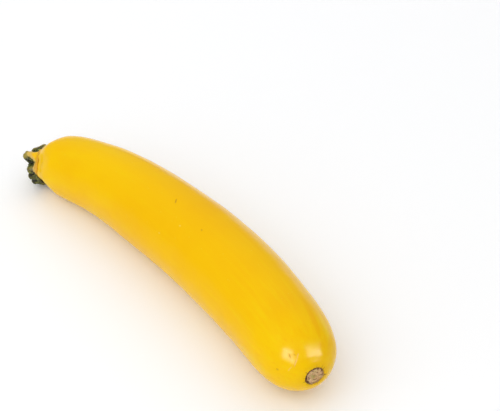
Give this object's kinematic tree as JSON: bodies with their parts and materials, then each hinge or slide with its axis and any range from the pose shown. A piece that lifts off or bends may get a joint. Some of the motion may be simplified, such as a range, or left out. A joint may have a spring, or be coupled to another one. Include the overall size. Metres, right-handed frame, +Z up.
{
  "type": "yellow zucchini",
  "caption": "Slightly bowed yellow zucchini lying on its side, thicker towards the blossom scar, with the short ridged green stub of its cut stem.",
  "frame": {"origin": "middle of the part's bounding box, at the height of the surface that the fruit lies on", "axes": "+X along the fruit from the stem to the blossom end, +Y towards the outside of its bow, +Z up"},
  "size_m": [0.2086, 0.0478, 0.0393],
  "materials": {
    "skin": "smooth waxy yellow skin with a soft gloss, faint pale specks and a tan corky blossom scar",
    "stem": "rough dark green rind with olive to yellow ridges, and a pale tan fibrous cut"
  },
  "bodies": {
    "root": {"fruit": "skin", "stem": "stem"}
  },
  "joints": []
}
